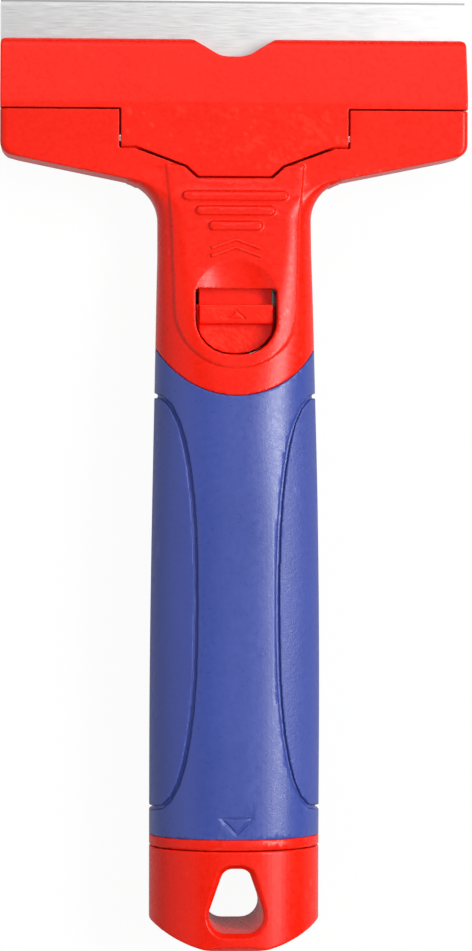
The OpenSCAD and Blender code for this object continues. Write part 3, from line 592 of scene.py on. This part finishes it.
def dressed(node, material):
    """CAD node that keeps its mesh and gets a finish."""
    mesh = nodes[node].data
    mesh.materials.clear()
    mesh.materials.append(material)


blade_low, blade_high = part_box("blade")
# The bevel colour is a painted shade on the slanted edge faces.
bevel_w, bevel_shade_colour = 0.45 * mm, (0.42, 0.42, 0.43, 1)
blade_steel = brushed(
    "blade_steel", colour=0.73, dark=0.57, roughness=0.50, along=0, bevels=(blade_low.y, blade_high.y, bevel_w))
spare_steel = brushed("spare_blade_steel", colour=0.92, dark=0.78, roughness=0.42, along=1)
dressed("blade", blade_steel)
dressed("spare_blades", spare_steel)


# Hinge pin and cam pin: ground steel pins cut to length, pressed into the ears and the fork.
# They lie inside the head, so their plain cylinders keep the solid's shape.
pin_steel = brushed("pin_steel", colour=0.42, dark=0.30, roughness=0.34, along=0)
dressed("hinge_pin", pin_steel)
dressed("cam_pin", pin_steel)


# Thumb slide: a small red moulding in the window, with a raised bar and an arrow for the thumb, and the fork
# that pulls the cover's tail down. The plate behind it is fixed and guides it, and the thin shield
# in front of it rides along and hides the springs. All three are the same red plastic.
red_part("lock_slider", "slider", 0.12)
red_part("slider_backplate", "root", 0.2)
red_part("spring_shield", "slider", 0.12)


# Return springs: two coils of hard drawn wire in the bores above the slide.
# Each is a smooth tube on a helix.
coil_growth, sheet, given, result = new_group(
    "coil_growth", "GeometryNodeTree",
    (("Turns", "Float"), ("Coil Radius", "Float"), ("Wire Radius", "Float"), ("Coil Length", "Float"),
     ("Spacing", "Float"), ("Wire Finish", "Material")),
    (("Geometry", "Geometry"),))
helix = sheet.add(
    "GeometryNodeCurveSpiral", Resolution=28, Rotations=given["Turns"], Start_Radius=given["Coil Radius"],
    End_Radius=given["Coil Radius"], Height=given["Coil Length"])
wire = sheet.add("GeometryNodeCurvePrimitiveCircle", Resolution=10, Radius=given["Wire Radius"])
coil = sheet.add(
    "GeometryNodeCurveToMesh", Curve=helix.outputs["Curve"], Profile_Curve=wire.outputs["Curve"], Fill_Caps=True)
laid = sheet.add("GeometryNodeTransform", Geometry=coil.outputs["Mesh"], Rotation=(-math.pi / 2, 0, 0))
step = sheet.add("ShaderNodeCombineXYZ", X=given["Spacing"])
first = sheet.add("ShaderNodeCombineXYZ", X=sheet.calc("MULTIPLY", given["Spacing"], -0.5))
seats = sheet.add("GeometryNodeMeshLine", Count=2, Start_Location=first.outputs[0], Offset=step.outputs[0])
pair = sheet.add("GeometryNodeInstanceOnPoints", Points=seats.outputs["Mesh"], Instance=laid.outputs["Geometry"])
real = sheet.add("GeometryNodeRealizeInstances", Geometry=pair.outputs["Instances"])
dyed = sheet.add("GeometryNodeSetMaterial", Geometry=real.outputs["Geometry"], Material=given["Wire Finish"])
sheet.put(result, "Geometry", dyed.outputs["Geometry"])

spring_low, spring_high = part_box("return_springs")
spring_d = spring_high.z - spring_low.z
spring_len = spring_high.y - spring_low.y
wire_d = 0.5 * mm
springs = grown("spring_coils", coil_growth, {
    "Turns": 9.0, "Coil Radius": (spring_d - wire_d) / 2, "Wire Radius": wire_d / 2,
    "Coil Length": spring_len - wire_d, "Spacing": 2 * spring_high.x - spring_d, "Wire Finish": pin_steel})
springs.data.transform(Matrix.Translation((0, spring_low.y + wire_d / 2, (spring_low.z + spring_high.z) / 2)))
shade_smooth(springs)
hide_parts("return_springs")
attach(springs, "root")
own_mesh(springs)


# Grip: soft blue elastomer moulded over the core, about 2 mm thick, with a groove round each side pad.
# The pads have a coarser grain than the strip down the front.
# The rubbed colour paints the raised edges paler: partly wear, partly a painted highlight.
blue_grip = plastic(
    "blue_grip", colour=(0.052, 0.084, 0.38), deep=(0.043, 0.071, 0.32), rubbed_and_highlit=(0.10, 0.14, 0.46),
    roughness=0.33, grain=2200, depth=0.045, gloss=0.68, pads=True)
mark_low_d, mark_high_d, mark_half = 178.2, 173.0, 4.6
mark_box = (
    (-mark_half * mm, (tool_len / 2 - mark_low_d) * mm, 20 * mm),
    (mark_half * mm, (tool_len / 2 - mark_high_d) * mm, 30 * mm))
grip = moulded(
    "grip", 0.16, [smooth_form(arc_setback - 1, grip_end, 0)], rounds=3, marked=mark_box, reach=0.32 * mm)
pad_mid, pad_half_len, pad_inset, pad_power = 128.7, 44.0, 9.5, 2.5
pad_fade = 0.4
x, y, _ = (read_vectors(grip.data.vertices, "co") / mm).T
along = np.clip(np.abs(pad_mid - (tool_len / 2 - y)) / pad_half_len, 0, 1)
pad_edge = grip_w / 2 - pad_inset * (1 - along ** pad_power) ** (1 / pad_power)
on_pad = np.clip((np.abs(x) - pad_edge) / pad_fade, 0, 1) * (along < 1)
grip.data.attributes.new("pad", "FLOAT", "POINT").data.foreach_set("value", on_pad)
grip.data.materials.append(blue_grip)
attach(grip, "root")


# End cap: red moulding that pulls off the end of the grip, with a flared hang hole.
# It has the same texture as the head, and the plug that closes the blade store.
red_part("end_cap", "cap", 0.2, [smooth_form(collar_end, tool_len, 0)])
